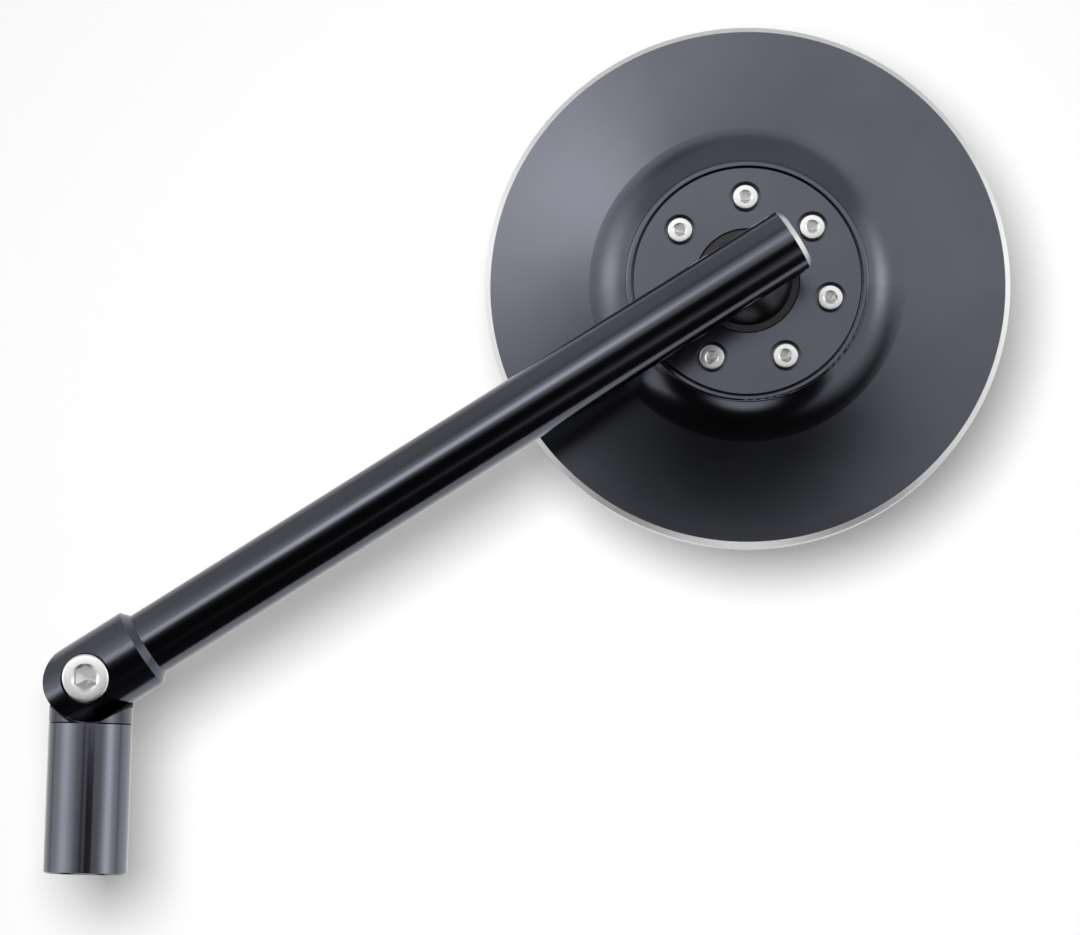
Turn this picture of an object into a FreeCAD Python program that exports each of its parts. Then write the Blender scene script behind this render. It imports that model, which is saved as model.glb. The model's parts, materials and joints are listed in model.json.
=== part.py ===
import FreeCAD
import Part
import os
import re

import Sketcher

Vector = FreeCAD.Vector
Rotation = FreeCAD.Rotation
doc = FreeCAD.newDocument("round_mirror")

# Driving sizes, in millimetres and degrees
SIZES = {
    # Stem sleeve and the screw inside it
    "stem_radius": 7.5,
    "sleeve_length": 26.8,
    "sleeve_edge": 0.3,
    "stem_thread_radius": 4.325,
    "stem_thread_depth": 10.7,
    "stem_thread_lead": 0.4,
    "relief_radius": 5.1,
    "relief_length": 5.5,
    "web_thickness": 3.0,
    "spigot_radius": 5.0,
    "spigot_end_gap": 0.2,
    "stem_screw_grip": 6.0,
    # Socket cap screws of the stem and the pivot
    "cap_shank_radius": 2.5,
    "cap_head_radius": 4.25,
    "cap_head_height": 5.0,
    "cap_key_width": 4.0,
    "cap_key_depth": 2.5,
    "cap_edge": 0.35,
    # Half-lap knuckle
    "knuckle_height": 8.1,
    "seam_edge": 0.25,
    "lug_radius": 7.8,
    "rear_lug_radius": 7.55,
    "saddle_gap": 0.3,
    "saddle_angle": 31.0,
    "washer_thickness": 0.5,
    "washer_radius": 6.8,
    "counterbore_gap": 0.25,
    "counterbore_floor": 2.5,
    "pivot_screw_reach": 6.7,
    "collar_length": 10.55,
    "collar_taper": 1.35,
    "arm_spigot_radius": 4.0,
    "arm_spigot_length": 13.0,
    # Arm and ball stud
    "arm_radius": 6.0,
    "arm_angle": 33.5,
    "arm_length": 148.9,
    "end_bevel": 1.0,
    "stud_inset": 9.4,
    "stud_thread_radius": 3.0,
    "stud_thread_length": 7.5,
    "stud_seat_depth": 1.0,
    "stud_neck_radius": 4.5,
    "ball_radius": 9.0,
    "ball_flat": 5.8,
    # Ball seats
    "front_seat_wall": 1.15,
    "front_seat_top": 3.6,
    "front_seat_foot": 1.2,
    "rear_seat_wall": 1.35,
    "rear_seat_top": 2.1,
    "rear_seat_foot": 6.1,
    # Clamp plate and its screws
    "plate_offset": 15.8,
    "plate_radius": 21.2,
    "plate_thickness": 4.0,
    "plate_edge": 0.2,
    "plate_gap": 0.35,
    "opening_lead": 0.25,
    "clamp_circle": 15.66,
    "clamp_count": 7,
    "clamp_turn": 92.4,
    "clamp_shank_radius": 1.25,
    "clamp_head_radius": 2.3,
    "clamp_head_height": 2.5,
    "clamp_key_width": 2.0,
    "clamp_key_depth": 1.5,
    "clamp_edge": 0.15,
    "clamp_bore_gap": 0.6,
    "clamp_head_recess": 0.1,
    "clamp_grip": 4.6,
    # Head housing
    "rim_radius": 49.0,
    "rim_bevel": 1.0,
    "rim_drop": 6.4,
    "rim_depth": 7.8,
    "rim_wall": 1.7,
    "rim_edge": 0.4,
    "rim_slope": 2.0,
    "back_curve": 200.0,
    "back_wall": 2.2,
    "lip_width": 1.0,
    "lip_round": 0.5,
    "boss_wall": 1.25,
    "flare_width": 6.9,
    "core_radius": 25.5,
    "core_floor": 1.5,
    "rear_hole_inset": 2.6,
    "ledge_width": 4.3,
    # Glass and its mounting tape
    "glass_thickness": 2.0,
    "glass_gap": 0.3,
    "glass_curve": 1200.0,
    "glass_recess": 0.2,
    "tape_thickness": 0.8,
    "tape_inset": 0.4,
    # Fits
    "thread_fit": 0.02,
    "sliding_fit": 0.05,
    "ball_fit": 0.05,
}

sheet = doc.addObject("Spreadsheet::Sheet", "Sizes")
for row, (alias, number) in enumerate(SIZES.items(), start=1):
    sheet.set(f"A{row}", alias)
    sheet.set(f"B{row}", str(number))
    sheet.setAlias(f"B{row}", alias)
doc.recompute()

ALIAS = re.compile(r"\b(" + "|".join(sorted(SIZES, key=len, reverse=True)) + r")\b")


def bound(text):
    """The expression text with every size name pointing at its cell."""
    return ALIAS.sub(r"Sizes.\1", text)


def value(text):
    """The number an expression has now."""
    return float(sheet.evalExpression(bound(text)))


# Sizes that several pieces share, as expressions

PIVOT_HEIGHT = "(sleeve_length + knuckle_height)"
SADDLE = "(lug_radius + saddle_gap)"
COLLAR_END = "(collar_length + collar_taper)"
HEAD_REACH = "(arm_length - stud_inset)"
STEM_WEB = "(stem_thread_depth + relief_length)"
SPIGOT_SEAT = f"({STEM_WEB} + web_thickness)"
RECESS = "(plate_radius + plate_gap)"
BOSS = f"({RECESS} + lip_width)"
RIM_FACE = "(rim_drop + rim_depth)"
BLACK_EDGE = "(rim_radius - rim_bevel)"
BACK_X = f"({BLACK_EDGE} + back_curve * sin(rim_slope))"
BACK_Y = "(rim_drop - back_curve * cos(rim_slope))"
GLASS_POCKET = "(rim_radius - rim_wall)"
GLASS_RADIUS = f"({GLASS_POCKET} - glass_gap)"
GLASS_EDGE = f"({RIM_FACE} - glass_recess)"
GLASS_LEDGE = f"({GLASS_EDGE} - glass_thickness - tape_thickness)"
SEAT_INNER = "(ball_radius + ball_fit)"
SEAT_OUTER = f"({SEAT_INNER} + front_seat_wall)"
SOCKET = f"({SEAT_OUTER} + ball_fit)"
REAR_SEAT = f"({SEAT_INNER} + rear_seat_wall)"
REAR_POCKET = f"({REAR_SEAT} + ball_fit)"
REAR_LEDGE = "(plate_thickness + rear_seat_foot)"
CORE_END = f"({REAR_LEDGE} + core_floor)"
CLAMP_SEAT = "(clamp_head_recess + clamp_head_height)"
STUD_SEAT = "(arm_radius - stud_seat_depth)"


def back_depth(radius):
    """Depth of the head's back behind the plate's face, on the wide curve out to the rim."""
    return f"({BACK_Y} + sqrt(back_curve ^ 2 - ({BACK_X} - {radius}) ^ 2))"


def on_sphere(sphere, height):
    """Radius of a sphere's section at a height from its centre."""
    return f"sqrt({sphere} ^ 2 - {height} ^ 2)"


# Sketching helpers


def origin_feature(body, role):
    """An origin plane or axis of a body."""
    return next(item for item in body.Origin.OriginFeatures if item.Role == role)


def new_sketch(body, name, plane="XZ_Plane", lift=None):
    """An empty sketch on an origin plane, moved along the plane's normal by lift."""
    sketch = body.newObject("Sketcher::SketchObject", name)
    sketch.AttachmentSupport = (origin_feature(body, plane), [""])
    sketch.MapMode = "FlatFace"
    if lift:
        sketch.setExpression("AttachmentOffset.Base.z", bound(lift))
    return sketch


def hold(sketch, geometry, point, direction, text):
    """Bind one coordinate of a sketch point to an expression."""
    axis = {"X": -2, "Y": -1}[direction]
    if abs(value(text)) < 1e-9:
        sketch.addConstraint(Sketcher.Constraint("PointOnObject", geometry, point, axis))
        return
    rule = Sketcher.Constraint("Distance" + direction, -1, 1, geometry, point, value(text))
    index = sketch.addConstraint(rule)
    sketch.setExpression(f"Constraints[{index}]", bound(text))


def line(x, y):
    """The next corner of an outline, reached by a straight line."""
    return {"end": (x, y)}


def arc(x, y, centre, held, turns_left):
    """The next corner, reached by an arc; held is the one coordinate that places it on the arc."""
    return {"end": (x, y), "centre": centre, "held": held, "left": turns_left}


def outline(body, name, steps, plane="XZ_Plane", lift=None):
    """A closed outline through the ends of its steps, with every corner bound to the sizes."""
    sketch = new_sketch(body, name, plane, lift)
    ends = [Vector(value(step["end"][0]), value(step["end"][1]), 0) for step in steps]
    pieces = []
    for number, step in enumerate(steps):
        start, end = ends[number - 1], ends[number]
        if "centre" not in step:
            geometry = sketch.addGeometry(Part.LineSegment(start, end), False)
            pieces.append((geometry, 1, 2))
            continue
        centre = Vector(value(step["centre"][0]), value(step["centre"][1]), 0)
        first, last = (start, end) if step["left"] else (end, start)
        ring = Part.Circle(centre, Vector(0, 0, 1), (start - centre).Length)
        curve = Part.ArcOfCircle(ring, ring.parameter(first), ring.parameter(last))
        geometry = sketch.addGeometry(curve, False)
        pieces.append((geometry, 1, 2) if step["left"] else (geometry, 2, 1))
    for number, (geometry, _, tail) in enumerate(pieces):
        following, head, _ = pieces[(number + 1) % len(pieces)]
        sketch.addConstraint(Sketcher.Constraint("Coincident", geometry, tail, following, head))
    for (geometry, _, tail), step in zip(pieces, steps):
        if "centre" in step:
            hold(sketch, geometry, 3, "X", step["centre"][0])
            hold(sketch, geometry, 3, "Y", step["centre"][1])
        for direction, text in zip("XY", step["end"]):
            if step.get("held", direction) == direction:
                hold(sketch, geometry, tail, direction, text)
    return sketch


def circle(body, name, radius, place=("0", "0"), plane="XZ_Plane", lift=None):
    """A sketch of one circle."""
    sketch = new_sketch(body, name, plane, lift)
    centre = Vector(value(place[0]), value(place[1]), 0)
    geometry = sketch.addGeometry(Part.Circle(centre, Vector(0, 0, 1), value(radius)), False)
    hold(sketch, geometry, 3, "X", place[0])
    hold(sketch, geometry, 3, "Y", place[1])
    index = sketch.addConstraint(Sketcher.Constraint("Radius", geometry, value(radius)))
    sketch.setExpression(f"Constraints[{index}]", bound(radius))
    return sketch


def hexagon(body, name, width, place=("0", "0"), plane="XY_Plane", lift=None):
    """A sketch of a hexagon of a given width across its flats."""
    corners = []
    for turn in range(0, 360, 60):
        x = f"{place[0]} + {width} / sqrt(3) * cos({turn})"
        y = f"{place[1]} + {width} / sqrt(3) * sin({turn})"
        corners.append(line(x, y))
    return outline(body, name, corners, plane, lift)


# Feature helpers


def new_body(label):
    """An empty sub-part."""
    body = doc.addObject("PartDesign::Body", label)
    body.Label = label
    return body


def turned(body, steps):
    """A solid of revolution about the body's own Z axis, from an outline of radius and height."""
    feature = body.newObject("PartDesign::Revolution", body.Label + "_turned")
    feature.Profile = outline(body, body.Label + "_profile", steps)
    feature.ReferenceAxis = (origin_feature(body, "Z_Axis"), [""])
    feature.Angle = 360
    doc.recompute()
    return feature


def cut(body, name, sketch, depth, along_normal=False):
    """A pocket of a given depth, which has to take something away."""
    before = body.Shape.Volume
    feature = body.newObject("PartDesign::Pocket", name)
    feature.Profile = sketch
    feature.setExpression("Length", bound(depth))
    feature.Reversed = along_normal
    doc.recompute()
    if body.Shape.Volume >= before:
        raise RuntimeError(name + " cuts nothing")
    return feature


def around(body, name, originals, count):
    """Copies of features spaced evenly about the body's Z axis."""
    feature = body.newObject("PartDesign::PolarPattern", name)
    feature.Originals = originals
    feature.Axis = (origin_feature(body, "Z_Axis"), [""])
    feature.Angle = 360
    feature.setExpression("Occurrences", bound(count))
    body.Tip = feature
    doc.recompute()
    return feature


# Places of the pieces


PIVOT_PLACE = ("0", "0", PIVOT_HEIGHT)
HEAD_X = f"{HEAD_REACH} * cos(arm_angle)"
HEAD_Z = f"{PIVOT_HEIGHT} + {HEAD_REACH} * sin(arm_angle)"
HEAD_PLACE = (HEAD_X, "plate_offset", HEAD_Z)
STUD_PLACE = (HEAD_X, f"{STUD_SEAT} - stud_thread_length", HEAD_Z)
FIRST_CLAMP = ("clamp_circle * cos(clamp_turn)", "-clamp_circle * sin(clamp_turn)")


def put(part, place, axis, turn):
    """Place a sub-part: expressions for its origin, and for its turn about an axis."""
    base = Vector(*[value(text) for text in place])
    part.Placement = FreeCAD.Placement(base, Rotation(axis, value(turn)))
    for direction, text in zip("xyz", place):
        part.setExpression("Placement.Base." + direction, bound(text))
    part.setExpression("Placement.Rotation.Angle", bound(turn))


def upright(part, place):
    """Place a sub-part whose own Z axis is the stem's."""
    put(part, place, Vector(0, 0, 1), "0")


def along_arm(part):
    """Place a sub-part whose own Z axis runs up the arm from the pivot."""
    put(part, PIVOT_PLACE, Vector(0, 1, 0), "90 - arm_angle")


def facing_back(part, place):
    """Place a sub-part whose own Z axis points the way that the glass faces."""
    put(part, place, Vector(-1, 0, 0), "90")


# Pieces of the stem


def stem_sleeve():
    """Round sleeve: threaded from below, with a web that the screw pulls on and a socket above."""
    body = new_body("stem_sleeve")
    web_hole = "cap_shank_radius + sliding_fit"
    socket = "spigot_radius + sliding_fit"
    turned(body, [
        line("stem_thread_radius + stem_thread_lead", "0"),
        line("stem_radius - sleeve_edge", "0"),
        line("stem_radius", "sleeve_edge"),
        line("stem_radius", "sleeve_length"),
        line(socket, "sleeve_length"),
        line(socket, SPIGOT_SEAT),
        line(web_hole, SPIGOT_SEAT),
        line(web_hole, STEM_WEB),
        line("relief_radius", STEM_WEB),
        line("relief_radius", "stem_thread_depth"),
        line("stem_thread_radius", "stem_thread_depth"),
        line("stem_thread_radius", "stem_thread_lead"),
    ])
    return body


def cap_screw(label, shank_length):
    """Socket cap screw with its head at the bottom and the shank upwards."""
    body = new_body(label)
    shank_end = f"cap_head_height + {shank_length}"
    turned(body, [
        line("0", "0"),
        line("cap_head_radius - cap_edge", "0"),
        line("cap_head_radius", "cap_edge"),
        line("cap_head_radius", "cap_head_height"),
        line("cap_shank_radius", "cap_head_height"),
        line("cap_shank_radius", f"{shank_end} - cap_edge"),
        line("cap_shank_radius - cap_edge", shank_end),
        line("0", shank_end),
    ])
    key = hexagon(body, label + "_key", "cap_key_width")
    cut(body, label + "_socket", key, "cap_key_depth", along_normal=True)
    return body


def stem_screw():
    """Cap screw inside the sleeve, up into the knuckle's spigot."""
    body = cap_screw("stem_screw", "web_thickness + stem_screw_grip")
    upright(body, ("0", "0", f"{STEM_WEB} - cap_head_height"))
    return body


# Pieces of the knuckle


def saddle_outline(body, name, up, lift):
    """The notch that clears the other half's lug: a flat floor between two straight flanks."""
    sign = "1" if up else "-1"
    reach = "(stem_radius + lug_radius)"
    floor_x = f"{SADDLE} * tan(saddle_angle / 2)"
    floor_y = f"{sign} * {SADDLE}"
    flank_y = f"{sign} * ({SADDLE} / cos(saddle_angle) - {reach} * tan(saddle_angle))"
    open_y = f"-({sign}) * 2 * {reach}"
    return outline(body, name, [
        line(f"-{reach}", flank_y),
        line(f"-{floor_x}", floor_y),
        line(floor_x, floor_y),
        line(reach, flank_y),
        line(reach, open_y),
        line(f"-{reach}", open_y),
    ], lift=lift)


def round_lug(body, radius, up):
    """Round the free end of a lug about the pivot, which is at the body's origin."""
    sign = "1" if up else "-1"
    reach = f"2 * {radius}"
    sketch = outline(body, body.Label + "_lug_end", [
        line(radius, "0"),
        arc(f"-{radius}", "0", ("0", "0"), "Y", turns_left=up),
        line(f"-{reach}", "0"),
        line(f"-{reach}", f"{sign} * {reach}"),
        line(reach, f"{sign} * {reach}"),
        line(reach, "0"),
    ], lift="2 * stem_radius")
    cut(body, body.Label + "_rounding", sketch, "4 * stem_radius")


def lower_knuckle():
    """Lower half: a lug behind the middle plane, a saddle in front of it and a spigot below."""
    body = new_body("lower_knuckle")
    spigot_foot = f"{SPIGOT_SEAT} + spigot_end_gap - {PIVOT_HEIGHT}"
    screw_hole = "cap_shank_radius + thread_fit"
    screw_top = f"{SPIGOT_SEAT} + stem_screw_grip + spigot_end_gap - {PIVOT_HEIGHT}"
    turned(body, [
        line(screw_hole, spigot_foot),
        line("spigot_radius", spigot_foot),
        line("spigot_radius", "-knuckle_height"),
        line("stem_radius - seam_edge", "-knuckle_height"),
        line("stem_radius", "seam_edge - knuckle_height"),
        line("stem_radius", "2 * rear_lug_radius"),
        line("0", "2 * rear_lug_radius"),
        line("0", screw_top),
        line(screw_hole, screw_top),
    ])
    round_lug(body, "rear_lug_radius", up=True)
    notch = saddle_outline(body, "lower_saddle_notch", False, "-washer_thickness / 2")
    cut(body, "lower_saddle", notch, "2 * stem_radius", along_normal=True)
    hole = circle(body, "lower_pivot_circle", "cap_shank_radius + thread_fit", lift="2 * stem_radius")
    cut(body, "lower_pivot_hole", hole, "4 * stem_radius")
    upright(body, PIVOT_PLACE)
    return body


def pivot_washer():
    """Thin friction washer between the two halves of the knuckle."""
    body = new_body("pivot_washer")
    bore = "cap_shank_radius + sliding_fit"
    turned(body, [
        line(bore, "0"),
        line("washer_radius", "0"),
        line("washer_radius", "washer_thickness"),
        line(bore, "washer_thickness"),
    ])
    facing_back(body, ("0", "-washer_thickness / 2", PIVOT_HEIGHT))
    return body


def pivot_screw():
    """Cap screw sunk in the front lug and threaded into the rear one."""
    body = cap_screw("pivot_screw", "counterbore_floor + pivot_screw_reach")
    facing_back(body, ("0", "-(counterbore_floor + cap_head_height)", PIVOT_HEIGHT))
    return body


def arm_knuckle():
    """Upper half: a lug in front of the middle plane, a collar, and a spigot for the arm."""
    body = new_body("arm_knuckle")
    spigot_end = f"{COLLAR_END} + arm_spigot_length"
    turned(body, [
        line("0", "-2 * lug_radius"),
        line("stem_radius", "-2 * lug_radius"),
        line("stem_radius", "collar_length"),
        line("arm_radius", COLLAR_END),
        line("arm_spigot_radius", COLLAR_END),
        line("arm_spigot_radius", spigot_end),
        line("0", spigot_end),
    ])
    round_lug(body, "lug_radius", up=False)
    notch = saddle_outline(body, "arm_saddle_notch", True, "washer_thickness / 2")
    cut(body, "arm_saddle", notch, "2 * stem_radius")
    hole = circle(body, "arm_pivot_circle", "cap_shank_radius + sliding_fit", lift="2 * stem_radius")
    cut(body, "arm_pivot_hole", hole, "4 * stem_radius")
    bore_radius = "cap_head_radius + counterbore_gap"
    bore = circle(body, "arm_counterbore_circle", bore_radius, lift="counterbore_floor")
    cut(body, "arm_counterbore", bore, "2 * stem_radius", along_normal=True)
    along_arm(body)
    return body


# Arm and ball stud


def arm_rod():
    """Straight round arm with a bevelled free end, a socket below and a cross hole for the stud."""
    body = new_body("arm_rod")
    socket = "arm_spigot_radius + thread_fit"
    socket_end = f"{COLLAR_END} + arm_spigot_length + spigot_end_gap"
    turned(body, [
        line(socket, COLLAR_END),
        line("arm_radius", COLLAR_END),
        line("arm_radius", "arm_length"),
        line("arm_radius - end_bevel", "arm_length + end_bevel"),
        line("0", "arm_length + end_bevel"),
        line("0", socket_end),
        line(socket, socket_end),
    ])
    cross_hole = ("0", HEAD_REACH)
    thread = "stud_thread_radius + thread_fit"
    thread_end = f"stud_thread_length + spigot_end_gap - {STUD_SEAT}"
    thread_hole = circle(body, "stud_hole_circle", thread, cross_hole, lift=thread_end)
    cut(body, "stud_hole", thread_hole, "2 * arm_radius")
    neck = "stud_neck_radius + sliding_fit"
    seat = circle(body, "stud_seat_circle", neck, cross_hole, lift=f"-{STUD_SEAT}")
    cut(body, "stud_seat", seat, "arm_radius")
    along_arm(body)
    return body


def ball_stud():
    """Ball on a neck, with a thread that screws across the arm; the ball's far side is flat."""
    body = new_body("ball_stud")
    centre = f"(stud_thread_length + plate_offset + plate_thickness - {STUD_SEAT})"
    flat_radius = on_sphere("ball_radius", "ball_flat")
    turned(body, [
        line("0", "0"),
        line("stud_thread_radius - cap_edge", "0"),
        line("stud_thread_radius", "cap_edge"),
        line("stud_thread_radius", "stud_thread_length"),
        line("stud_neck_radius", "stud_thread_length"),
        line("stud_neck_radius", f"{centre} - {on_sphere('ball_radius', 'stud_neck_radius')}"),
        arc(flat_radius, f"{centre} + ball_flat", ("0", centre), "Y", turns_left=True),
        line("0", f"{centre} + ball_flat"),
    ])
    facing_back(body, STUD_PLACE)
    return body


# Pieces of the head


def front_ball_seat():
    """Ring in front of the ball, round inside and outside about the ball's centre."""
    body = new_body("front_ball_seat")
    top = "plate_thickness - front_seat_top"
    foot = "plate_thickness - front_seat_foot"
    ball_centre = ("0", "plate_thickness")
    turned(body, [
        line(on_sphere(SEAT_OUTER, "front_seat_top"), top),
        arc(on_sphere(SEAT_OUTER, "front_seat_foot"), foot, ball_centre, "Y", turns_left=True),
        line(on_sphere(SEAT_INNER, "front_seat_foot"), foot),
        arc(on_sphere(SEAT_INNER, "front_seat_top"), top, ball_centre, "Y", turns_left=False),
    ])
    facing_back(body, HEAD_PLACE)
    return body


def rear_ball_seat():
    """Ring behind the ball, round inside and straight outside, on the housing's ledge."""
    body = new_body("rear_ball_seat")
    top = "plate_thickness + rear_seat_top"
    turned(body, [
        line(on_sphere(SEAT_INNER, "rear_seat_foot"), REAR_LEDGE),
        arc(on_sphere(SEAT_INNER, "rear_seat_top"), top, ("0", "plate_thickness"), "Y", turns_left=False),
        line(REAR_SEAT, top),
        line(REAR_SEAT, REAR_LEDGE),
    ])
    facing_back(body, HEAD_PLACE)
    return body


def clamp_plate():
    """Round plate with a spherical opening over the front seat and a ring of counterbored holes."""
    body = new_body("clamp_plate")
    lead_radius = on_sphere(SOCKET, "(plate_thickness - opening_lead)")
    turned(body, [
        line(f"{lead_radius} + opening_lead", "0"),
        line("plate_radius - plate_edge", "0"),
        line("plate_radius", "plate_edge"),
        line("plate_radius", "plate_thickness"),
        line(SOCKET, "plate_thickness"),
        arc(lead_radius, "opening_lead", ("0", "plate_thickness"), "Y", turns_left=False),
    ])
    hole_radius = "clamp_shank_radius + sliding_fit"
    hole = circle(body, "clamp_hole_circle", hole_radius, FIRST_CLAMP, "XY_Plane")
    through = cut(body, "clamp_hole", hole, "plate_thickness", along_normal=True)
    bore_radius = "clamp_head_radius + clamp_bore_gap"
    bore = circle(body, "clamp_bore_circle", bore_radius, FIRST_CLAMP, "XY_Plane")
    counterbore = cut(body, "clamp_counterbore", bore, CLAMP_SEAT, along_normal=True)
    around(body, "clamp_holes", [through, counterbore], "clamp_count")
    facing_back(body, HEAD_PLACE)
    return body


def clamp_screws():
    """The ring of small socket cap screws, each a solid of its own."""
    single = new_body("clamp_screw")
    tip = f"clamp_head_height + plate_thickness - {CLAMP_SEAT} + clamp_grip"
    turned(single, [
        line("0", "0"),
        line("clamp_head_radius - clamp_edge", "0"),
        line("clamp_head_radius", "clamp_edge"),
        line("clamp_head_radius", "clamp_head_height"),
        line("clamp_shank_radius", "clamp_head_height"),
        line("clamp_shank_radius", f"{tip} - clamp_edge"),
        line("clamp_shank_radius - clamp_edge", tip),
        line("0", tip),
    ])
    key = hexagon(single, "clamp_key", "clamp_key_width")
    cut(single, "clamp_socket", key, "clamp_key_depth", along_normal=True)
    step = 360 / value("clamp_count")
    copies = []
    for number in range(int(value("clamp_count"))):
        spread = Rotation(Vector(0, 0, 1), number * step - value("clamp_turn"))
        place = spread.multVec(Vector(value("clamp_circle"), 0, value("clamp_head_recess")))
        copies.append(single.Shape.transformed(FreeCAD.Placement(place, spread).toMatrix()))
    group = doc.addObject("Part::Feature", "clamp_screws")
    group.Label = "clamp_screws"
    group.Shape = Part.makeCompound(copies)
    facing_back(group, HEAD_PLACE)
    return group


def mirror_housing():
    """Head shell: flared boss, trumpet back, bevelled rim, and a hollow behind the glass."""
    body = new_body("mirror_housing")
    flare_end = f"({BOSS} + flare_width)"
    flare_depth = back_depth(flare_end)
    slope_sine = f"(({BACK_X} - {flare_end}) / back_curve)"
    slope_cosine = f"sqrt(1 - {slope_sine} ^ 2)"
    fall = f"({flare_depth} - boss_wall)"
    lean = f"({fall} * {slope_cosine} - flare_width * {slope_sine})"
    flare_radius = f"((flare_width ^ 2 + {fall} ^ 2) / (2 * {lean}))"
    flare_x = f"{flare_end} + {flare_radius} * {slope_sine}"
    flare_y = f"{flare_depth} - {flare_radius} * {slope_cosine}"
    ledge = f"({GLASS_POCKET} - ledge_width)"
    rear_hole = f"{REAR_POCKET} - rear_hole_inset"
    turned(body, [
        line(REAR_POCKET, "plate_thickness"),
        line(RECESS, "plate_thickness"),
        line(RECESS, "0"),
        line(f"{BOSS} - lip_round", "0"),
        arc(BOSS, "lip_round", (f"{BOSS} - lip_round", "lip_round"), "Y", turns_left=True),
        line(BOSS, "boss_wall"),
        arc(flare_end, flare_depth, (flare_x, flare_y), "X", turns_left=False),
        arc(BLACK_EDGE, "rim_drop", (BACK_X, BACK_Y), "X", turns_left=False),
        line("rim_radius", "rim_drop + rim_bevel"),
        line("rim_radius", f"{RIM_FACE} - rim_edge"),
        line("rim_radius - rim_edge", RIM_FACE),
        line(GLASS_POCKET, RIM_FACE),
        line(GLASS_POCKET, GLASS_LEDGE),
        line(ledge, GLASS_LEDGE),
        line(ledge, f"{back_depth(ledge)} + back_wall"),
        line("core_radius", f"{back_depth('core_radius')} + back_wall"),
        line("core_radius", CORE_END),
        line(rear_hole, CORE_END),
        line(rear_hole, REAR_LEDGE),
        line(REAR_POCKET, REAR_LEDGE),
    ])
    thread = "clamp_shank_radius + thread_fit"
    hole = circle(body, "tapped_circle", thread, FIRST_CLAMP, "XY_Plane", "plate_thickness")
    tapped = cut(body, "tapped_hole", hole, "clamp_grip + spigot_end_gap", along_normal=True)
    around(body, "tapped_holes", [tapped], "clamp_count")
    facing_back(body, HEAD_PLACE)
    return body


def glass_depth(radius, edge):
    """Depth of a glass face at a radius, where the face meets the glass's edge at a given depth."""
    drop = f"({on_sphere('glass_curve', radius)} - {on_sphere('glass_curve', GLASS_RADIUS)})"
    return f"{edge} + {drop}"


def mirror_glass():
    """Convex glass of even thickness."""
    body = new_body("mirror_glass")
    back_edge = f"({GLASS_EDGE} - glass_thickness)"
    front_crown = glass_depth("0", GLASS_EDGE)
    back_crown = glass_depth("0", back_edge)
    turned(body, [
        line("0", back_crown),
        arc(GLASS_RADIUS, back_edge, ("0", f"{back_crown} - glass_curve"), "X", turns_left=False),
        line(GLASS_RADIUS, GLASS_EDGE),
        arc("0", front_crown, ("0", f"{front_crown} - glass_curve"), "X", turns_left=True),
    ])
    facing_back(body, HEAD_PLACE)
    return body


def glass_tape():
    """Ring of mounting tape between the housing's ledge and the back of the glass."""
    body = new_body("glass_tape")
    back_edge = f"({GLASS_EDGE} - glass_thickness)"
    inner = f"({GLASS_POCKET} - ledge_width + tape_inset)"
    outer = f"({GLASS_RADIUS} - tape_inset)"
    turned(body, [
        line(inner, GLASS_LEDGE),
        line(outer, GLASS_LEDGE),
        line(outer, glass_depth(outer, back_edge)),
        line(inner, glass_depth(inner, back_edge)),
    ])
    facing_back(body, HEAD_PLACE)
    return body


# Build every sub-part, check it and write its file

parts = [
    stem_sleeve(),
    stem_screw(),
    lower_knuckle(),
    pivot_washer(),
    pivot_screw(),
    arm_knuckle(),
    arm_rod(),
    ball_stud(),
    front_ball_seat(),
    rear_ball_seat(),
    clamp_plate(),
    clamp_screws(),
    mirror_housing(),
    mirror_glass(),
    glass_tape(),
]
doc.recompute()

for item in doc.Objects:
    if "Invalid" in item.State or "Error" in item.State:
        raise RuntimeError(item.Label + " failed")
for part in parts:
    if part.Shape.isNull() or not part.Shape.isValid():
        raise RuntimeError(part.Label + " has no valid shape")

os.makedirs("parts", exist_ok=True)
for part in parts:
    part.Shape.exportStep(f"parts/{part.Label}.step")
    print(part.Label, len(part.Shape.Solids), round(part.Shape.Volume, 2))
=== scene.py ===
import json
import math

import bmesh
import bpy
from mathutils import Matrix, Vector


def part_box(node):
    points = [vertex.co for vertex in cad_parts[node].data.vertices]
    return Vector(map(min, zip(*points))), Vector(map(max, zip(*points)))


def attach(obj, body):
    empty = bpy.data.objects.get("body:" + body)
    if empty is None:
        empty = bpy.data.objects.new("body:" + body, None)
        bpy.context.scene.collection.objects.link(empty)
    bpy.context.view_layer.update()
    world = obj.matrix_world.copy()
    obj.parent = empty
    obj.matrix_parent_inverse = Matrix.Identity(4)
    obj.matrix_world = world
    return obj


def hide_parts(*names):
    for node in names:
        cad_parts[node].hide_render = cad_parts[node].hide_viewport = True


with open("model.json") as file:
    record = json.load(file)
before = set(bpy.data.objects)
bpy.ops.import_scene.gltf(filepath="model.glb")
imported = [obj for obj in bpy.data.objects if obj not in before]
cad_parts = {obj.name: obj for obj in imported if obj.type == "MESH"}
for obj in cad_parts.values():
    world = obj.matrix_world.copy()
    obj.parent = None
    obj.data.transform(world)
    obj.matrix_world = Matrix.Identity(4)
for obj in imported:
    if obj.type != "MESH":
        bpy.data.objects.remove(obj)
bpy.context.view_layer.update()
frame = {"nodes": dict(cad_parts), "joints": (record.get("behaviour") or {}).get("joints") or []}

# Places read from the frame, in metres

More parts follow.
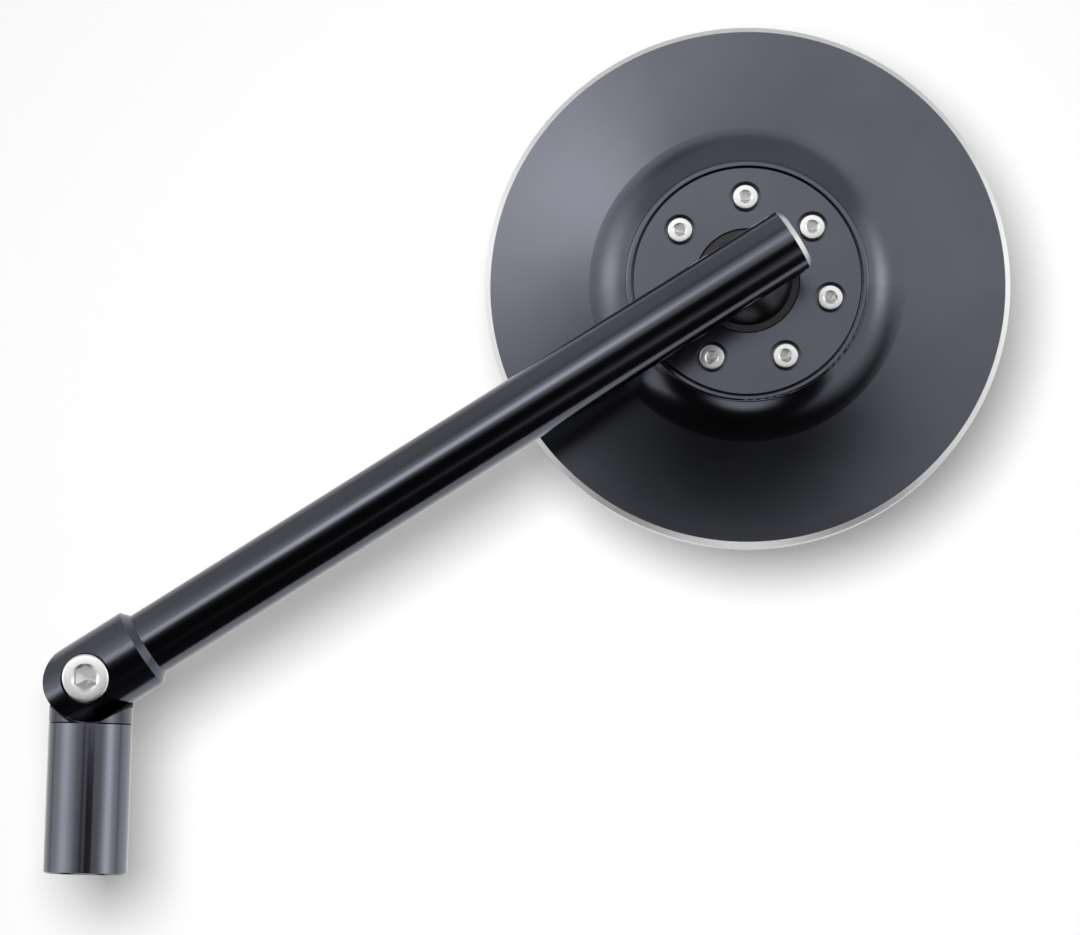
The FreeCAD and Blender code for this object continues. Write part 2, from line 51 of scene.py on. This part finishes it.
joints = {joint["name"]: joint for joint in frame["joints"]}
PIVOT = Vector(joints["knuckle_pivot"]["pos_m"])
BALL = Vector(joints["head_spin"]["pos_m"])
ARM_WAY = Vector(joints["head_roll"]["axis"])
GLASS_WAY = Vector((0, 1, 0))
STEM_WAY = Vector((0, 0, 1))
PLATE_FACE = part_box("clamp_plate")[0].y
HEAD_CENTRE = Vector((BALL.x, PLATE_FACE, BALL.z))
HEAD_RADIUS = (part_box("mirror_housing")[1].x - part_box("mirror_housing")[0].x) / 2
GLASS_RADIUS = (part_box("mirror_glass")[1].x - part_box("mirror_glass")[0].x) / 2

# Bare bevels and the ground edge of the glass, in metres
RIM_BEVEL = 0.001
RIM_DROP = 0.0064
ARM_LENGTH = 0.1489
END_BEVEL = 0.001
EDGE_BLUR = 0.00004
GROUND_EDGE = (0.0005, 0.0003)

# Socket cap screws: lengths in metres, angles in radians, the cone's tip as a share of the socket
PIVOT_SCREW = {
    "head_radius": 0.00425, "head_height": 0.005, "edge": 0.0004, "shank_radius": 0.0025,
    "shank_length": 0.0092, "key_width": 0.004, "key_depth": 0.0022, "mouth": 0.00025,
}
CLAMP_SCREW = {
    "head_radius": 0.0023, "head_height": 0.0025, "edge": 0.00022, "shank_radius": 0.00125,
    "shank_length": 0.006, "key_width": 0.002, "key_depth": 0.0011, "mouth": 0.00015,
}
CLAMP_CIRCLE = 0.01566
CLAMP_COUNT = 7
CLAMP_TURN = math.radians(92.4)
SCREW_SEGMENTS = 48
ROUND_STEPS = 4
KEY_SIDES = 6
SOCKET_CONE = math.radians(35)
CONE_TIP = 0.04
SHARP_EDGE = math.radians(25)

# The picture and its camera: the sensor in millimetres, places in metres, angles in radians
PICTURE_WIDTH = 1080
FOCAL_PIXELS = 3530
SENSOR_WIDTH = 36
CAMERA_PLACE = Vector((0.1139, -0.6323, 0.0199))
CAMERA_YAW = math.radians(3.09)
CAMERA_RISE = math.radians(4.97)
CAMERA_ROLL = math.radians(1.53)
CAMERA_NEAR = 0.01

# Stage and lamp: lengths in metres, the lamp's power in watts
BACKDROP_Y = 0.185
BACKDROP_TOP = 0.9
BACKDROP_HALF_WIDTH = 1.1
FLOOR_Z = -0.30
FLOOR_FRONT = 0.10
COVE_RADIUS = 0.06
COVE_STEPS = 16
SAME_PLACE = 1e-6
FLAG_Y = -0.66
FLAG_LOW = (0.046, -0.050)
FLAG_HIGH = (0.290, 0.036)
SHADOW_LAMP_OFFSET = (-0.018, 0.026)
SHADOW_LAMP_SIZE = 0.070
SHADOW_LAMP_POWER = 4.9

# Studio light: places, widths and edges in degrees, as a turn from the front and a height; level 1 is white
DARK_LEFT = ((-46, -26), (-4, 12))
SIDES_CENTRE = 11
SIDES_EDGE = (10, 50)
SIDES_DEPTH = 38
SIDES_FOOT = (-8, -1)
FRONT_EDGE = (-10, 12)
FRONT_LEVEL = 1.35
LOW_LEFT_SHADE = {"turn": (-6, 6), "height": (-2, 4.5), "level": 1.3}
LOW_RIGHT = ((0, 16), (18, 27))
LOW_RIGHT_HEIGHT = (1, 6.5)
LOW_RIGHT_LEVEL = 0.45
TENT_TOP = (27, 45)
TENT_TOP_SHADE = 0.5
UPPER_LEFT_SHADE = {"turn": (-26, 14), "height": (38, 10), "level": 0.5}
KEY_LIGHT = {"turn": (-13, 6), "height": (15, 6), "level": 3.2}
STRIP_CENTRE = (-7.5, 10.5)
STRIP_WAY = (0.475, 0.88)
STRIP_WIDTHS = (5.5, 2.2)
STRIP_LEVEL = 2.0
LEFT_BOX = {"turn": (-58, 18), "height": (10, 14), "level": 2.0}
RIGHT_BOX = {"turn": (68, 13), "height": (10, 15), "level": 2.2}
TABLE_EDGE = (-80, -66)
TABLE_LEVEL = 1.4
DARKEST = 0.02
MATT_SHARE = 0.34
PAPER_GLOW = 0.07

DEGREES = 180 / math.pi


class Shade:
    """A value in a node tree; arithmetic on it adds Math nodes."""

    def __init__(self, nodes, socket):
        self.nodes = nodes
        self.socket = socket

    def math(self, operation, *values):
        return self.nodes.add("Math", {"operation": operation}, dict(enumerate(values)))

    def __add__(self, other):
        return self.math("ADD", self, other)

    def __radd__(self, other):
        return self.math("ADD", other, self)

    def __sub__(self, other):
        return self.math("SUBTRACT", self, other)

    def __rsub__(self, other):
        return self.math("SUBTRACT", other, self)

    def __mul__(self, other):
        return self.math("MULTIPLY", self, other)

    def __rmul__(self, other):
        return self.math("MULTIPLY", other, self)

    def __truediv__(self, other):
        return self.math("DIVIDE", self, other)

    def __neg__(self):
        return self.math("MULTIPLY", self, -1)

    def __abs__(self):
        return self.math("ABSOLUTE", self)

    def larger(self, other):
        return self.math("MAXIMUM", self, other)

    def rise(self, start, end):
        """0 up to start, 1 from end on, and a smooth rise between them."""
        settings = {"interpolation_type": "SMOOTHSTEP"}
        return self.nodes.add("MapRange", settings, {0: self, 1: start, 2: end, 3: 0, 4: 1})

    def band(self, up, down):
        """1 between two edges, each with its own start and end."""
        return self.rise(*up) - self.rise(*down)

    def bell(self, centre, width):
        """1 at the centre, falling off on both sides."""
        share = (self - centre) / width
        return self.math("EXPONENT", -(share * share))


class Nodes:
    """The nodes of one finish, of the world or of the stage."""

    def __init__(self, tree):
        self.tree = tree
        tree.nodes.clear()

    def add(self, kind, settings=None, inputs=None, output=0):
        """A node of a kind, with its settings set first and then its sockets."""
        node = self.tree.nodes.new("ShaderNode" + kind)
        for name, value in (settings or {}).items():
            setattr(node, name, value)
        for key, value in (inputs or {}).items():
            if isinstance(value, Shade):
                self.tree.links.new(value.socket, node.inputs[key])
            else:
                node.inputs[key].default_value = value
        return Shade(self, node.outputs[output]) if node.outputs else None

    def position(self):
        """The place of a surface point in the object's own frame."""
        return self.add("TexCoord", output="Object")

    def distance_along(self, origin, way):
        """How far a surface point lies from an origin, along a direction."""
        placed = self.add("VectorMath", {"operation": "SUBTRACT"}, {0: self.position(), 1: origin})
        return self.add("VectorMath", {"operation": "DOT_PRODUCT"}, {0: placed, 1: way}, "Value")

    def distance_round(self, origin, way):
        """How far a surface point lies from an axis."""
        placed = self.add("VectorMath", {"operation": "SUBTRACT"}, {0: self.position(), 1: origin})
        across = self.add("VectorMath", {"operation": "CROSS_PRODUCT"}, {0: placed, 1: way})
        return self.add("VectorMath", {"operation": "LENGTH"}, {0: across}, "Value")

    def speckle(self, scale, detail=2.0):
        """Even noise over the surface, from 0 to 1."""
        inputs = {"Vector": self.position(), "Scale": scale, "Detail": detail}
        return self.add("TexNoise", None, inputs)

    def tool_marks(self, place, pitch):
        """Fine lines left by a turning tool, at about a pitch, along a distance."""
        inputs = {"W": place / pitch, "Scale": 1, "Detail": 1}
        return self.add("TexNoise", {"noise_dimensions": "1D"}, inputs)

    def mix(self, factor, first, second):
        """A colour between two colours."""
        settings = {"data_type": "RGBA"}
        return self.add("Mix", settings, {0: factor, 6: first, 7: second}, 2)

    def seen(self):
        """1 on what the camera sees, straight or in metal and glass, and 0 on what lights matt surfaces."""
        rays = ["Is Camera Ray", "Is Glossy Ray", "Is Transmission Ray"]
        camera, glossy, passing = [self.add("LightPath", output=ray) for ray in rays]
        return camera.larger(glossy).larger(passing)

    def bump(self, height, distance):
        """A normal that follows a height field."""
        return self.add("Bump", None, {"Height": height, "Distance": distance})


def finish(name, build, **sockets):
    """A material whose shader sockets come from build, and from constants."""
    material = bpy.data.materials.new(name)
    material.use_nodes = True
    nodes = Nodes(material.node_tree)
    inputs = dict(sockets)
    inputs.update(build(nodes))
    shader = nodes.add("BsdfPrincipled", None, inputs)
    nodes.add("OutputMaterial", None, {"Surface": shader})
    return material


def tint(colour, share):
    """A colour made darker or lighter by a share."""
    return tuple(channel * share for channel in colour[:3]) + (1,)


# Finishes: colours are linear; scales of noise count its cells in a metre; pitches and depths are in metres

BLACK_ANODISED = (0.105, 0.110, 0.130, 1)
# A paler copy of the black anodised colour for the sleeve: painted light, which stands in for the brighter
# light the sleeve reflects
SLEEVE_PAINTED_PALER = (0.165, 0.170, 0.200, 1)
BARE_ALUMINIUM = (0.90, 0.90, 0.91, 1)
STAINLESS = (0.96, 0.96, 0.965, 1)
BLACK_OXIDE = (0.050, 0.050, 0.056, 1)
SILVER = (0.86, 0.88, 0.89, 1)
BRIGHT_SILVER = (0.90, 0.92, 0.93, 1)
GROUND_GLASS = (0.42, 0.50, 0.48, 1)
SEAT_BLACK = (0.012, 0.012, 0.013, 1)
WASHER_GREY = (0.04, 0.04, 0.04, 1)
TAPE_GREY = (0.05, 0.05, 0.05, 1)
CARD_BLACK = (0.01, 0.01, 0.01, 1)
PAPER_WHITE = (0.97, 0.97, 0.97, 1)

HEAD_PITCH = 0.00016
PLATE_PITCH = 0.00022
ROD_PITCH = 0.00018
ARM_END_PITCH = 0.00012
STUD_PITCH = 0.00015
MARK_DEPTH = 0.0000015
CLOUD_EDGE = (0.3, 0.7)
GRAIN_DETAIL = 1


def anodised(nodes, colour, marks, roughness):
    """Dyed aluminium: turning marks under a satin skin, in slightly uneven colour."""
    cloud_scale, grain_scale = 60, 9000
    mark_share, grain_share = 0.7, 0.3
    pale_dye, deep_dye = 0.95, 1.05
    mark_roughness, cloud_roughness = 0.05, 0.04
    cloud = nodes.speckle(cloud_scale)
    grain = nodes.speckle(grain_scale, GRAIN_DETAIL)
    height = marks * mark_share + grain * grain_share
    return {
        "Base Color": nodes.mix(cloud.rise(*CLOUD_EDGE), tint(colour, pale_dye), tint(colour, deep_dye)),
        "Roughness": roughness + (marks - 0.5) * mark_roughness + (cloud - 0.5) * cloud_roughness,
        "Normal": nodes.bump(height, MARK_DEPTH),
    }


def bared(nodes, inputs, mask, marks):
    """A finish with part of its dyed skin turned off, down to bare metal."""
    bare_roughness, mark_roughness = 0.38, 0.10
    bare = bare_roughness + marks * mark_roughness
    inputs["Base Color"] = nodes.mix(mask, inputs["Base Color"], BARE_ALUMINIUM)
    inputs["Roughness"] = inputs["Roughness"] * (1 - mask) + bare * mask
    return inputs


def housing_finish():
    def build(nodes):
        radius = nodes.distance_round(HEAD_CENTRE, GLASS_WAY)
        depth = nodes.distance_along(HEAD_CENTRE, GLASS_WAY)
        marks = nodes.tool_marks(radius, HEAD_PITCH)
        inputs = anodised(nodes, BLACK_ANODISED, marks, roughness=0.18)
        black_edge = HEAD_RADIUS - RIM_BEVEL
        over_edge = radius.rise(black_edge - EDGE_BLUR, black_edge + EDGE_BLUR)
        bevel_end = RIM_DROP + RIM_BEVEL
        on_bevel = 1 - depth.rise(bevel_end - EDGE_BLUR, bevel_end + EDGE_BLUR)
        return bared(nodes, inputs, over_edge * on_bevel, marks)
    return finish("black_anodised_head", build, Metallic=1.0)


def plate_finish():
    def build(nodes):
        marks = nodes.tool_marks(nodes.distance_round(HEAD_CENTRE, GLASS_WAY), PLATE_PITCH)
        return anodised(nodes, BLACK_ANODISED, marks, roughness=0.22)
    return finish("black_anodised_plate", build, Metallic=1.0)


def arm_finish():
    def build(nodes):
        length = nodes.distance_along(PIVOT, ARM_WAY)
        marks = nodes.tool_marks(length, ROD_PITCH)
        inputs = anodised(nodes, BLACK_ANODISED, marks, roughness=0.15)
        face_marks = nodes.tool_marks(nodes.distance_round(PIVOT, ARM_WAY), ARM_END_PITCH)
        bevel_end = ARM_LENGTH + END_BEVEL
        over_edge = length.rise(ARM_LENGTH - EDGE_BLUR, ARM_LENGTH + EDGE_BLUR)
        on_bevel = 1 - length.rise(bevel_end - 2 * EDGE_BLUR, bevel_end)
        return bared(nodes, inputs, over_edge * on_bevel, face_marks)
    return finish("black_anodised_arm", build, Metallic=1.0)


def knuckle_finish():
    def build(nodes):
        marks = nodes.tool_marks(nodes.distance_along(PIVOT, ARM_WAY), ROD_PITCH)
        return anodised(nodes, BLACK_ANODISED, marks, roughness=0.18)
    return finish("black_anodised_knuckle", build, Metallic=1.0)


def sleeve_finish():
    def build(nodes):
        marks = nodes.tool_marks(nodes.distance_along(PIVOT, STEM_WAY), ROD_PITCH)
        # The sleeve's paler base colour is painted light on the same black anodised finish
        return anodised(nodes, SLEEVE_PAINTED_PALER, marks, roughness=0.13)
    return finish("black_anodised_sleeve", build, Metallic=1.0)


def screw_finish():
    cloud_scale, grain_scale, grain_depth = 400, 14000, 0.000001
    dull_share, roughness, cloud_roughness = 0.94, 0.34, 0.10

    def build(nodes):
        cloud = nodes.speckle(cloud_scale)
        grain = nodes.speckle(grain_scale, GRAIN_DETAIL)
        return {
            "Base Color": nodes.mix(cloud.rise(*CLOUD_EDGE), tint(STAINLESS, dull_share), STAINLESS),
            "Roughness": roughness + cloud * cloud_roughness,
            "Normal": nodes.bump(grain, grain_depth),
        }
    return finish("stainless_screws", build, Metallic=1.0)


def stud_finish():
    cloud_scale, roughness, mark_roughness = 300, 0.30, 0.08
    dark, light = tint(BLACK_OXIDE, 0.8), tint(BLACK_OXIDE, 1.2)

    def build(nodes):
        cloud = nodes.speckle(cloud_scale)
        marks = nodes.tool_marks(nodes.distance_along(HEAD_CENTRE, GLASS_WAY), STUD_PITCH)
        return {
            "Base Color": nodes.mix(cloud.rise(*CLOUD_EDGE), dark, light),
            "Roughness": roughness + marks * mark_roughness,
            "Normal": nodes.bump(marks, MARK_DEPTH),
        }
    return finish("black_oxide_stud", build, Metallic=1.0)


def moulded_finish(name, colour, roughness):
    cloud_scale, grain_scale, grain_depth, grain_roughness = 500, 6000, 0.000006, 0.1
    dark, light = tint(colour, 0.85), tint(colour, 1.15)

    def build(nodes):
        cloud = nodes.speckle(cloud_scale)
        grain = nodes.speckle(grain_scale)
        return {
            "Base Color": nodes.mix(cloud, dark, light),
            "Roughness": roughness + (grain - 0.5) * grain_roughness,
            "Normal": nodes.bump(grain, grain_depth),
        }
    return finish(name, build)


def glass_finish():
    smear_scale, roughness, smear_roughness, ground_roughness = 25, 0.015, 0.02, 0.35

    def build(nodes):
        smear = nodes.speckle(smear_scale)
        radius = nodes.distance_round(HEAD_CENTRE, GLASS_WAY)
        ground = radius.rise(GLASS_RADIUS - GROUND_EDGE[0], GLASS_RADIUS - GROUND_EDGE[1])
        silver = nodes.mix(smear, SILVER, BRIGHT_SILVER)
        return {
            "Base Color": nodes.mix(ground, silver, GROUND_GLASS),
            "Roughness": roughness + smear * smear_roughness + ground * ground_roughness,
        }
    return finish("silvered_glass", build, Metallic=1.0)


knuckle_black = knuckle_finish()
stainless = screw_finish()
seat_polymer = moulded_finish("seat_polymer", SEAT_BLACK, roughness=0.42)
node_finishes = {
    "stem_sleeve": sleeve_finish(),
    "stem_screw": stainless,
    "lower_knuckle": knuckle_black,
    "pivot_washer": moulded_finish("washer_fibre", WASHER_GREY, roughness=0.65),
    "pivot_screw": stainless,
    "arm_knuckle": knuckle_black,
    "arm_rod": arm_finish(),
    "ball_stud": stud_finish(),
    "front_ball_seat": seat_polymer,
    "rear_ball_seat": seat_polymer,
    "clamp_plate": plate_finish(),
    "clamp_screws": stainless,
    "mirror_housing": housing_finish(),
    "mirror_glass": glass_finish(),
    "glass_tape": moulded_finish("foam_tape", TAPE_GREY, roughness=0.8),
}
for node, material in node_finishes.items():
    frame["nodes"][node].material_slots[0].material = material


# Pieces


def new_object(name, mesh_builder, material):
    """An object at the origin whose mesh holds its place."""
    mesh = bpy.data.meshes.new(name)
    shape = bmesh.new()
    mesh_builder(shape)
    shape.to_mesh(mesh)
    shape.free()
    mesh.materials.append(material)
    made = bpy.data.objects.new(name, mesh)
    bpy.context.scene.collection.objects.link(made)
    return made


def loop_step(shape, loop, scale, rise):
    """Extrude a loop of edges round the Z axis to a scaled loop, a step along the axis."""
    grown = bmesh.ops.extrude_edge_only(shape, edges=loop)["geom"]
    corners = [item for item in grown if isinstance(item, bmesh.types.BMVert)]
    bmesh.ops.scale(shape, verts=corners, vec=(scale, scale, 1))
    bmesh.ops.translate(shape, verts=corners, vec=(0, 0, rise))
    return [item for item in grown if isinstance(item, bmesh.types.BMEdge)]


def ring(shape, segments, radius, height):
    """A loop of edges round the Z axis."""
    corners = bmesh.ops.create_circle(shape, segments=segments, radius=radius)["verts"]
    bmesh.ops.translate(shape, verts=corners, vec=(0, 0, height))
    return list({edge for corner in corners for edge in corner.link_edges})


def cap_screw_mesh(shape, screw):
    """Socket cap screw along +Z: its face at zero, a rounded head and a cone at the socket's end."""
    radius, edge = screw["head_radius"], screw["edge"]
    under_head = ring(shape, SCREW_SEGMENTS, radius, screw["head_height"])
    shank = loop_step(shape, under_head, screw["shank_radius"] / radius, 0)
    shank_end = loop_step(shape, shank, 1, screw["shank_length"] - edge)
    tip = loop_step(shape, shank_end, 1 - edge / screw["shank_radius"], edge)
    bmesh.ops.edgeloop_fill(shape, edges=tip)
    rim = loop_step(shape, under_head, 1, edge - screw["head_height"])
    at_radius, at_height = radius, edge
    for step in range(1, ROUND_STEPS + 1):
        angle = step / ROUND_STEPS * math.pi / 2
        next_radius = radius - edge * (1 - math.cos(angle))
        next_height = edge * (1 - math.sin(angle))
        rim = loop_step(shape, rim, next_radius / at_radius, next_height - at_height)
        at_radius, at_height = next_radius, next_height
    corner_radius = screw["key_width"] / math.sqrt(3)
    mouth = loop_step(shape, rim, (corner_radius + screw["mouth"]) / at_radius, 0)
    socket = ring(shape, KEY_SIDES, corner_radius, screw["mouth"])
    bmesh.ops.bridge_loops(shape, edges=mouth + socket)
    floor = loop_step(shape, socket, 1, screw["key_depth"] - screw["mouth"])
    cone_depth = corner_radius * math.tan(SOCKET_CONE)
    point = loop_step(shape, floor, CONE_TIP, cone_depth)
    bmesh.ops.edgeloop_fill(shape, edges=point)
    bmesh.ops.recalc_face_normals(shape, faces=shape.faces[:])


def facing_back(shape, place):
    """Turn a piece from its own +Z to the way that the glass faces, and move it into place."""
    turn = Matrix.Rotation(-math.pi / 2, 4, "X")
    bmesh.ops.transform(shape, matrix=Matrix.Translation(place) @ turn, verts=shape.verts[:])


def pivot_screw_mesh(shape):
    cap_screw_mesh(shape, PIVOT_SCREW)
    facing_back(shape, Vector((PIVOT.x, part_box("pivot_screw")[0].y, PIVOT.z)))


def clamp_screws_mesh(shape):
    cap_screw_mesh(shape, CLAMP_SCREW)
    first = Vector((math.cos(CLAMP_TURN), 0, math.sin(CLAMP_TURN))) * CLAMP_CIRCLE
    facing_back(shape, Vector((BALL.x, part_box("clamp_screws")[0].y, BALL.z)) + first)
    bmesh.ops.spin(shape, geom=shape.verts[:] + shape.edges[:] + shape.faces[:], cent=HEAD_CENTRE,
                   axis=GLASS_WAY, angle=2 * math.pi * (CLAMP_COUNT - 1) / CLAMP_COUNT,
                   steps=CLAMP_COUNT - 1, use_duplicate=True)


def screw_piece(name, mesh_builder, node, body):
    """A detailed screw, or set of screws, in place of its node."""
    piece = new_object(name, mesh_builder, stainless)
    piece.data.shade_smooth()
    piece.data.set_sharp_from_angle(angle=SHARP_EDGE)
    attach(piece, body)
    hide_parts(node)


screw_piece("socket_screw_of_pivot", pivot_screw_mesh, "pivot_screw", "knuckle")
screw_piece("socket_screws_of_plate", clamp_screws_mesh, "clamp_screws", "head")


# Stage


def sweep_mesh(shape):
    """A wall behind the mirror that curves into a short floor below it."""
    side = -BACKDROP_HALF_WIDTH + HEAD_CENTRE.x
    cove_z = FLOOR_Z + COVE_RADIUS
    cove_y = BACKDROP_Y - COVE_RADIUS
    top = shape.verts.new((side, BACKDROP_Y, BACKDROP_TOP))
    foot = shape.verts.new((side, BACKDROP_Y, cove_z))
    shape.edges.new((top, foot))
    cove = bmesh.ops.spin(shape, geom=[foot], cent=(side, cove_y, cove_z), axis=(1, 0, 0),
                          angle=-math.pi / 2, steps=COVE_STEPS)
    lip = next(item for item in cove["geom_last"] if isinstance(item, bmesh.types.BMVert))
    front = bmesh.ops.extrude_vert_indiv(shape, verts=[lip])["verts"][0]
    front.co.y = FLOOR_FRONT
    grown = bmesh.ops.extrude_edge_only(shape, edges=shape.edges[:])
    corners = [item for item in grown["geom"] if isinstance(item, bmesh.types.BMVert)]
    bmesh.ops.translate(shape, verts=corners, vec=(2 * BACKDROP_HALF_WIDTH, 0, 0))
    bmesh.ops.remove_doubles(shape, verts=shape.verts[:], dist=SAME_PLACE)
    wall = max(shape.faces, key=lambda face: face.calc_area())
    if wall.normal.y > 0:
        bmesh.ops.reverse_faces(shape, faces=shape.faces[:])
    for face in shape.faces:
        face.smooth = True


def sweep_finish():
    """White paper with a faint glow of its own, clear when seen from behind."""
    material = bpy.data.materials.new("white_paper")
    material.use_nodes = True
    nodes = Nodes(material.node_tree)
    paper = nodes.add("BsdfDiffuse", None, {"Color": PAPER_WHITE})
    glow = nodes.add("Emission", None, {"Strength": nodes.seen() * PAPER_GLOW})
    bright_paper = nodes.add("AddShader", None, {0: paper, 1: glow})
    clear = nodes.add("BsdfTransparent")
    behind = nodes.add("NewGeometry", output="Backfacing")
    shown = nodes.add("MixShader", None, {0: behind, 1: bright_paper, 2: clear})
    nodes.add("OutputMaterial", None, {"Surface": shown})
    return material


def flag_mesh(shape):
    """An upright black card just behind the camera, which draws the dark line on the sleeve."""
    bmesh.ops.create_grid(shape, x_segments=4, y_segments=2, size=0.5)
    size = Vector((FLAG_HIGH[0] - FLAG_LOW[0], FLAG_HIGH[1] - FLAG_LOW[1], 1))
    bmesh.ops.scale(shape, verts=shape.verts[:], vec=size)
    middle = Vector(((FLAG_LOW[0] + FLAG_HIGH[0]) / 2, FLAG_Y, (FLAG_LOW[1] + FLAG_HIGH[1]) / 2))
    facing_back(shape, middle)


black_card = moulded_finish("black_card", CARD_BLACK, roughness=0.9)
new_object("paper_sweep", sweep_mesh, sweep_finish())
new_object("black_flag", flag_mesh, black_card)


# Light


def studio_world():
    """A pale tent, dark in front below the horizon, with a key light, a strip light and two side boxes.

    Far below lies a pale table, which lights the lower rim. Metal and glass show all of it in full;
    matt surfaces get the share that leaves their colours as written.
    """
    world = bpy.data.worlds.new("studio")
    world.use_nodes = True
    bpy.context.scene.world = world
    nodes = Nodes(world.node_tree)
    parts = nodes.add("TexCoord", output="Generated")
    x, y, z = [nodes.add("SeparateXYZ", None, {0: parts}, axis) for axis in "XYZ"]
    turn = x.math("ARCTAN2", x, -y) * DEGREES
    height = z.math("ARCSINE", z) * DEGREES

    def patch(light):
        return turn.bell(*light["turn"]) * height.bell(*light["height"]) * light["level"]

    sides_foot = height + SIDES_DEPTH - turn.band(*DARK_LEFT) * SIDES_DEPTH
    sides = abs(turn - SIDES_CENTRE).rise(*SIDES_EDGE) * sides_foot.rise(*SIDES_FOOT)
    low_right = turn.band(*LOW_RIGHT) * height.bell(*LOW_RIGHT_HEIGHT) * LOW_RIGHT_LEVEL
    front = height.rise(*FRONT_EDGE) * (FRONT_LEVEL - patch(LOW_LEFT_SHADE)) + low_right
    tent = sides.larger(front) * (1 - height.rise(*TENT_TOP) * TENT_TOP_SHADE)
    strip_turn, strip_height = turn - STRIP_CENTRE[0], height - STRIP_CENTRE[1]
    along = strip_turn * STRIP_WAY[0] + strip_height * STRIP_WAY[1]
    across = strip_turn * STRIP_WAY[1] - strip_height * STRIP_WAY[0]
    strip = along.bell(0, STRIP_WIDTHS[0]) * across.bell(0, STRIP_WIDTHS[1]) * STRIP_LEVEL
    table = (1 - height.rise(*TABLE_EDGE)) * TABLE_LEVEL
    ahead = (tent + patch(KEY_LIGHT) + strip) * (1 - patch(UPPER_LEFT_SHADE))
    level = ahead + patch(LEFT_BOX) + patch(RIGHT_BOX) + table + DARKEST
    light = nodes.add("Background", None, {"Strength": level * nodes.seen().larger(MATT_SHARE)})
    nodes.add("OutputWorld", None, {"Surface": light})


def camera_axes():
    """Right, up and back of the camera."""
    right = Vector((math.cos(CAMERA_YAW), math.sin(CAMERA_YAW), 0))
    level_back = Vector((math.sin(CAMERA_YAW), -math.cos(CAMERA_YAW), 0))
    back = level_back * math.cos(CAMERA_RISE) - Vector((0, 0, 1)) * math.sin(CAMERA_RISE)
    up = back.cross(right)
    turned_right = right * math.cos(CAMERA_ROLL) + up * math.sin(CAMERA_ROLL)
    turned_up = up * math.cos(CAMERA_ROLL) - right * math.sin(CAMERA_ROLL)
    return turned_right, turned_up, back


def place_camera():
    data = bpy.data.cameras.new("camera")
    data.sensor_width = SENSOR_WIDTH
    data.lens = FOCAL_PIXELS * SENSOR_WIDTH / PICTURE_WIDTH
    data.clip_start = CAMERA_NEAR
    camera = bpy.data.objects.new("camera", data)
    turn = Matrix(camera_axes()).transposed().to_4x4()
    camera.matrix_world = Matrix.Translation(CAMERA_PLACE) @ turn
    bpy.context.scene.collection.objects.link(camera)
    bpy.context.scene.camera = camera


def shadow_lamp():
    """A small lamp beside the camera that throws the soft shadow on the paper."""
    right, up, back = camera_axes()
    data = bpy.data.lights.new("shadow_lamp", "AREA")
    data.shape = "DISK"
    data.size = SHADOW_LAMP_SIZE
    data.energy = SHADOW_LAMP_POWER
    lamp = bpy.data.objects.new("shadow_lamp", data)
    place = CAMERA_PLACE + right * SHADOW_LAMP_OFFSET[0] + up * SHADOW_LAMP_OFFSET[1]
    lamp.matrix_world = Matrix.Translation(place) @ Matrix((right, up, back)).transposed().to_4x4()
    lamp.visible_camera = False
    lamp.visible_glossy = False
    bpy.context.scene.collection.objects.link(lamp)


studio_world()
place_camera()
shadow_lamp()
bpy.context.scene.view_settings.view_transform = "Standard"
